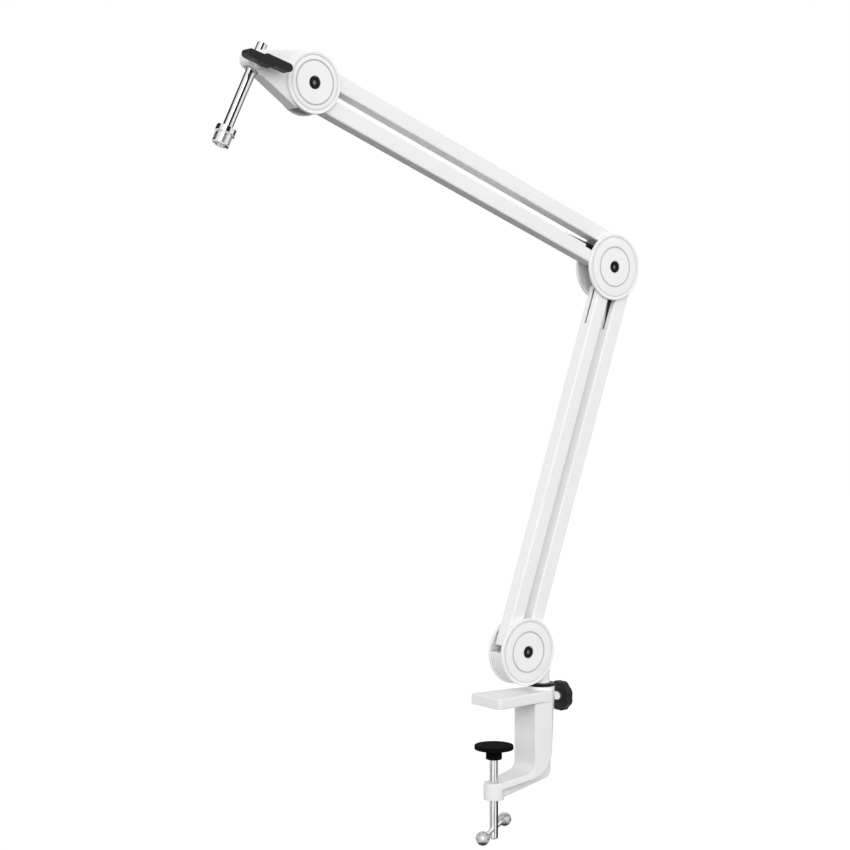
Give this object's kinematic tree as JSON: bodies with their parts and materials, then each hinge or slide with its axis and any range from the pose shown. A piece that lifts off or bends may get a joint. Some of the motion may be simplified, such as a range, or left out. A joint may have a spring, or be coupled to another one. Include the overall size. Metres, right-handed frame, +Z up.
{
  "type": "microphone boom arm",
  "caption": "White desk-clamp boom arm of paired square tubes with round hub covers, a screw clamp and a chrome rod that ends in a microphone thread.",
  "frame": {"origin": "on the axis of the clamp screw, at the underside of the upper jaw, the face that lies on the desk", "axes": "+Z up, -X the way the arm reaches out over the desk, +Y the side away from the wing knob"},
  "size_m": [0.477, 0.0568, 0.7216],
  "materials": {
    "powder_coat": "satin white powder coat",
    "cast_white": "satin white paint on die casting",
    "disc_white": "satin moulded white plastic",
    "black_plastic": "moulded black plastic",
    "black_oxide": "black oxide screw steel",
    "chrome": "polished chrome plate",
    "zinc": "zinc plated steel",
    "nylon": "natural nylon",
    "spring_steel": "drawn spring wire"
  },
  "bodies": {
    "clamp": {"clamp_frame": "cast_white", "post_bush": "black_plastic"},
    "thumb_screw": {"thumb_stud": "zinc", "thumb_ferrule": "chrome", "thumb_knob": "black_plastic"},
    "pad": {"screw_pad": "black_plastic"},
    "screw": {"clamp_screw": "chrome"},
    "tommy": {"tommy_bar": "chrome", "tommy_balls": "chrome"},
    "base": {"base_casting": "cast_white", "base_front_disc": "disc_white", "base_back_disc": "disc_white", "base_bolt": "black_oxide", "base_nut": "black_oxide", "base_pins": "zinc"},
    "lower_front": {"lower_front_tube": "powder_coat", "lower_front_lug": "black_oxide", "lower_front_bushes": "nylon"},
    "lower_rear": {"lower_rear_tube": "powder_coat", "lower_rear_lug": "black_oxide", "lower_rear_bushes": "nylon", "lower_spring": "spring_steel", "lower_anchor": "powder_coat"},
    "elbow": {"elbow_front_disc": "disc_white", "elbow_back_disc": "disc_white", "elbow_bolt": "black_oxide", "elbow_nut": "black_oxide", "elbow_sleeve": "zinc", "elbow_pins": "zinc", "spring_anchors": "zinc"},
    "lower_link": {"lower_link": "black_oxide"},
    "upper_bottom": {"upper_bottom_tube": "powder_coat", "upper_bottom_fork": "black_oxide", "upper_bottom_lug": "black_oxide", "upper_bottom_bushes": "nylon", "upper_spring": "spring_steel", "upper_anchor": "powder_coat"},
    "upper_top": {"upper_top_tube": "powder_coat", "upper_top_fork": "black_oxide", "upper_top_lug": "black_oxide", "upper_top_bushes": "nylon"},
    "upper_link": {"upper_link": "black_oxide"},
    "head": {"head_front_disc": "disc_white", "head_back_disc": "disc_white", "head_bolt": "black_oxide", "head_nut": "black_oxide", "head_sleeve": "zinc", "head_pins": "zinc"},
    "holder": {"head_casting": "cast_white"},
    "liner": {"rod_liner": "nylon"},
    "rod": {"mic_rod": "chrome", "thread_adapter": "chrome"},
    "wing": {"wing_knob": "black_plastic", "wing_stud": "zinc"}
  },
  "joints": [
    {"name": "base_swivel", "type": "hinge", "parent": "clamp", "child": "base", "pos_m": [0.0583, 0, 0], "axis": [0, 0, 1], "continuous": true},
    {"name": "lower_arm", "type": "hinge", "parent": "base", "child": "lower_front", "pos_m": [0.0173, 0, 0.0644], "axis": [0, 1, 0], "range_deg": [-59.3, 5.7], "deforming": ["lower_spring"]},
    {"name": "lower_rear_fold", "type": "hinge", "parent": "base", "child": "lower_rear", "pos_m": [0.0425, 0, 0.0644], "axis": [0, 1, 0], "range_deg": [-59.3, 5.7]},
    {"name": "elbow_level", "type": "hinge", "parent": "lower_front", "child": "elbow", "pos_m": [0.13447, 0, 0.39898], "axis": [0, 1, 0], "range_deg": [-5.7, 59.3]},
    {"name": "lower_link_swing", "type": "hinge", "parent": "elbow", "child": "lower_link", "pos_m": [0.14674, 0, 0.40139], "axis": [0, 1, 0], "range_deg": [-60, 10]},
    {"name": "upper_arm", "type": "hinge", "parent": "elbow", "child": "upper_bottom", "pos_m": [0.14127, 0, 0.41198], "axis": [0, 1, 0], "range_deg": [-43.75, 20.25], "deforming": ["upper_spring"]},
    {"name": "upper_top_fold", "type": "hinge", "parent": "elbow", "child": "upper_top", "pos_m": [0.14127, 0, 0.43718], "axis": [0, 1, 0], "range_deg": [-43.75, 20.25]},
    {"name": "upper_link_swing", "type": "hinge", "parent": "elbow", "child": "upper_link", "pos_m": [0.13873, 0, 0.42505], "axis": [0, 1, 0], "range_deg": [-50, 25]},
    {"name": "head_level", "type": "hinge", "parent": "upper_bottom", "child": "head", "pos_m": [-0.19775, 0, 0.54723], "axis": [0, 1, 0], "range_deg": [-20.25, 43.75]},
    {"name": "head_tilt", "type": "hinge", "parent": "head", "child": "holder", "pos_m": [-0.20775, 0, 0.56333], "axis": [0, 1, 0], "range_deg": [-25, 20]},
    {"name": "rod_turn", "type": "hinge", "parent": "holder", "child": "liner", "pos_m": [-0.26235, 0, 0.57643], "axis": [0.4399, 0, 0.898], "continuous": true},
    {"name": "rod_slide", "type": "slide", "parent": "liner", "child": "rod", "axis": [0.4399, 0, 0.898], "range_m": [-0.01, 0.045]},
    {"name": "wing_turn", "type": "hinge", "parent": "holder", "child": "wing", "pos_m": [-0.26235, 0, 0.57643], "axis": [0, 1, 0], "continuous": true},
    {"name": "thumb_turn", "type": "hinge", "parent": "clamp", "child": "thumb_screw", "pos_m": [0.0583, 0, 0.0005], "axis": [1, 0, 0], "continuous": true},
    {"name": "screw_travel", "type": "slide", "parent": "clamp", "child": "pad", "axis": [0, 0, 1], "range_m": [-0.02, 0.02]},
    {"name": "screw_turn", "type": "hinge", "parent": "pad", "child": "screw", "pos_m": [0, 0, -0.06], "axis": [0, 0, 1], "range_deg": [-3600, 3600]},
    {"name": "tommy_slide", "type": "slide", "parent": "screw", "child": "tommy", "axis": [0.8192, 0.5736, 0], "range_m": [-0.026, 0.026]}
  ],
  "couplings": [
    {"joint": "lower_rear_fold", "follows": "lower_arm", "ratio": 1},
    {"joint": "elbow_level", "follows": "lower_arm", "ratio": -1},
    {"joint": "lower_link_swing", "follows": "lower_arm", "ratio": 0.932},
    {"joint": "upper_top_fold", "follows": "upper_arm", "ratio": 1},
    {"joint": "upper_link_swing", "follows": "upper_arm", "ratio": 1.021},
    {"joint": "head_level", "follows": "upper_arm", "ratio": -1},
    {"joint": "screw_travel", "follows": "screw_turn", "m_per_rad": 0.00031831}
  ]
}
